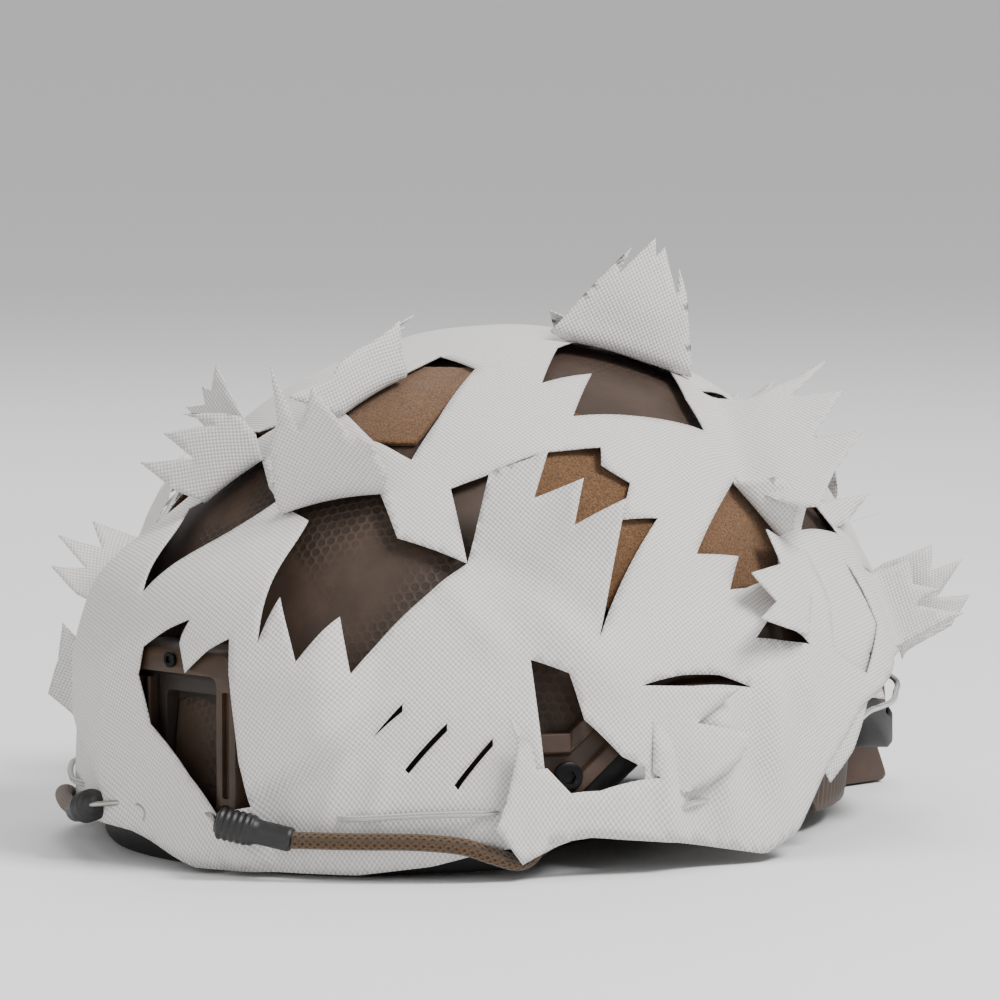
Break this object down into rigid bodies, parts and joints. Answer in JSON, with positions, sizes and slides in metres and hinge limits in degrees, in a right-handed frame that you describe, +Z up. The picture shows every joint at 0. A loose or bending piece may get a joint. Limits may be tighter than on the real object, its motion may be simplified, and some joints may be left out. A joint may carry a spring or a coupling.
{
  "type": "helmet with leaf-cut snow camouflage cover",
  "caption": "High-cut protective helmet with accessory rails, front shroud, bungees, padded liner and nape dial, dressed in a white leaf-cut snow camouflage cover.",
  "frame": {"origin": "middle of the whole model's footprint, on the surface that the helmet stands on", "axes": "+Z up, -Y towards the front of the helmet, +X towards the wearer's left"},
  "size_m": [0.2822, 0.3414, 0.2077],
  "materials": {
    "shell": "matt textured paint over a moulded composite shell",
    "trim": "matt black rubber",
    "snow_cloth": "white laser-cut woven polyester",
    "elastic": "white braided elastic",
    "shroud_plate": "dark brown satin plastic",
    "shroud": "dark tan glass-filled plastic",
    "loop": "tan hook-and-loop pile",
    "black_steel": "black oxide",
    "rail": "tan glass-filled plastic",
    "bungee": "coyote brown braided elastic",
    "sleeve": "black shrunk tube",
    "wire": "bright spring wire",
    "pad": "dark brushed fabric over foam",
    "webbing": "tan nylon webbing",
    "buckle": "tan moulded plastic",
    "nape_plastic": "tan moulded plastic"
  },
  "bodies": {
    "root": {"shell": "shell", "edge_trim": "trim", "loop_panel_front": "loop", "loop_panel_left": "loop", "loop_panel_right": "loop", "loop_panel_rear": "loop", "shroud_frame": "shroud", "shroud_plate": "shroud_plate", "shroud_screw_top": "black_steel", "shroud_screw_left": "black_steel", "shroud_screw_right": "black_steel", "rail_left": "rail", "rail_bolt_left_front": "black_steel", "rail_bolt_left_rear": "black_steel", "rail_right": "rail", "rail_bolt_right_front": "black_steel", "rail_bolt_right_rear": "black_steel", "bungee_cord_left": "bungee", "bungee_cord_right": "bungee", "liner_pad_front": "pad", "liner_pad_rear": "pad", "liner_pad_left_front": "pad", "liner_pad_left_rear": "pad", "liner_pad_right_front": "pad", "liner_pad_right_rear": "pad", "liner_pad_crown": "pad", "chin_strap_left": "webbing", "harness_strap_left": "webbing", "chin_strap_right": "webbing", "harness_strap_right": "webbing", "buckle_socket": "buckle", "snow_cover": "snow_cloth", "hem_elastic": "elastic"},
    "nape_yoke": {"nape_yoke": "nape_plastic", "nape_pad": "pad", "nape_arm_left": "nape_plastic", "nape_arm_right": "nape_plastic", "dial_axle": "black_steel"},
    "nape_dial": {"dial_knob": "nape_plastic"},
    "left_bungee": {"bungee_sleeve_left": "sleeve", "bungee_hook_left": "wire"},
    "right_bungee": {"bungee_sleeve_right": "sleeve", "bungee_hook_right": "wire"},
    "buckle_plug": {"buckle_plug": "buckle"}
  },
  "joints": [
    {"name": "yoke_slide", "type": "slide", "parent": "root", "child": "nape_yoke", "axis": [0, -1, 0], "range_m": [0, 0.006]},
    {"name": "dial_turn", "type": "hinge", "parent": "nape_yoke", "child": "nape_dial", "pos_m": [0.01, 0.14971, 0.02], "axis": [0, 0.9063, 0.4226], "range_deg": [0, 720]},
    {"name": "left_bungee_pull", "type": "slide", "parent": "root", "child": "left_bungee", "axis": [-0.8419, -0.5011, 0.2004], "range_m": [0, 0.006], "stiffness_N_per_m": 120},
    {"name": "right_bungee_pull", "type": "slide", "parent": "root", "child": "right_bungee", "axis": [0.8419, -0.5011, 0.2004], "range_m": [0, 0.006], "stiffness_N_per_m": 120},
    {"name": "buckle_release", "type": "slide", "parent": "root", "child": "buckle_plug", "axis": [0, -1, 0], "range_m": [0, 0.022]}
  ],
  "couplings": [
    {"joint": "dial_turn", "follows": "yoke_slide", "rad_per_m": 2094.4}
  ]
}
